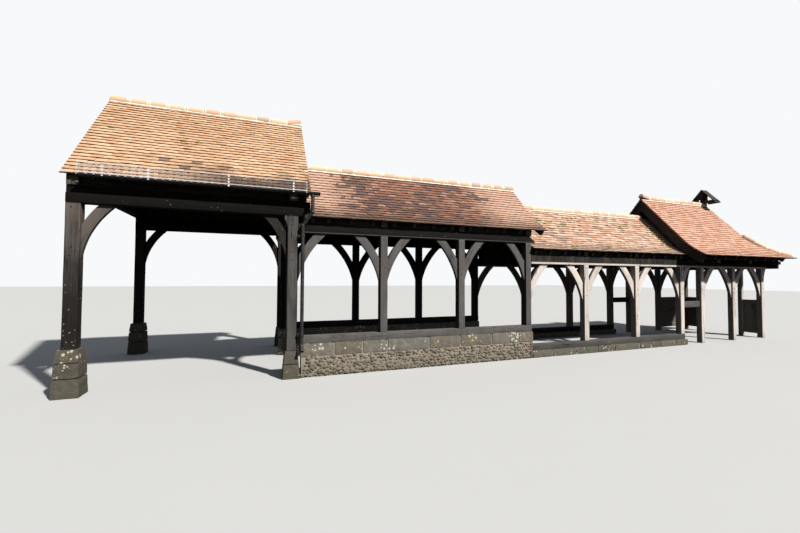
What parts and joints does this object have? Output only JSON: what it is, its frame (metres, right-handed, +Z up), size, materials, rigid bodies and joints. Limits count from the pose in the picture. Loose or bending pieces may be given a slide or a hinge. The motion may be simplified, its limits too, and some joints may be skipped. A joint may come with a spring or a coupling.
{
  "type": "timber lychgate with covered walk",
  "caption": "Timber-framed lychgate with a tiled covered walk and a wider path bay, standing on stone pads and dwarf walls.",
  "frame": {"origin": "middle of the underside of the stone pad under the front post between the path bay and the covered walk, at the lowest ground", "axes": "+X along the walk towards the street end, +Y from the front row of posts to the back row, +Z up"},
  "size_m": [18.182, 4.407, 5.486],
  "materials": {
    "weathered_oak": "weathered oak, silver-grey where the sun reaches it",
    "limestone": "rough limestone blocks with mortar joints",
    "path_roof_tiles": "plain clay tiles, buff-orange, matt",
    "upper_roof_tiles": "plain clay tiles, red with blue-grey patches, matt",
    "lower_roof_tiles": "plain clay tiles, orange-red with moss, matt",
    "gate_roof_tiles": "plain clay tiles, salmon-orange, matt",
    "ridge_clay": "half-round clay ridge tiles bedded in pale mortar",
    "black_iron": "black paint, satin",
    "galvanised_steel": "dull zinc coating"
  },
  "bodies": {
    "root": {"path_bay_pads": "limestone", "path_bay_posts": "weathered_oak", "path_bay_plates": "weathered_oak", "path_bay_tie_beams": "weathered_oak", "path_bay_braces": "weathered_oak", "path_bay_rafters": "weathered_oak", "path_bay_front_tiles": "path_roof_tiles", "path_bay_back_tiles": "path_roof_tiles", "path_bay_gable_boards": "weathered_oak", "gutter": "black_iron", "downpipe": "black_iron", "snow_guard": "galvanised_steel", "walk_plinths": "limestone", "walk_sills": "weathered_oak", "upper_walk_posts": "weathered_oak", "lower_walk_posts": "weathered_oak", "walk_plates": "weathered_oak", "walk_tie_beams": "weathered_oak", "upper_walk_braces": "weathered_oak", "lower_walk_braces": "weathered_oak", "upper_walk_rafters": "weathered_oak", "lower_walk_rafters": "weathered_oak", "upper_walk_front_tiles": "upper_roof_tiles", "upper_walk_back_tiles": "upper_roof_tiles", "lower_walk_front_tiles": "lower_roof_tiles", "lower_walk_back_tiles": "lower_roof_tiles", "walk_gable_boards": "weathered_oak", "link_rails": "weathered_oak", "gate_posts": "weathered_oak", "gate_door_posts": "weathered_oak", "gate_plates": "weathered_oak", "gate_cross_beams": "weathered_oak", "gate_eaves_plates": "weathered_oak", "gate_braces": "weathered_oak", "gate_rafters": "weathered_oak", "gate_hip_rafters": "weathered_oak", "gate_front_tiles": "gate_roof_tiles", "gate_back_tiles": "gate_roof_tiles", "gate_end_tiles": "gate_roof_tiles", "gate_gable_boards": "weathered_oak", "gate_bargeboards": "weathered_oak", "gate_low_panels": "weathered_oak", "ridge_boards": "weathered_oak", "ridge_tiles": "ridge_clay", "gate_canopy": "weathered_oak"}
  },
  "joints": []
}
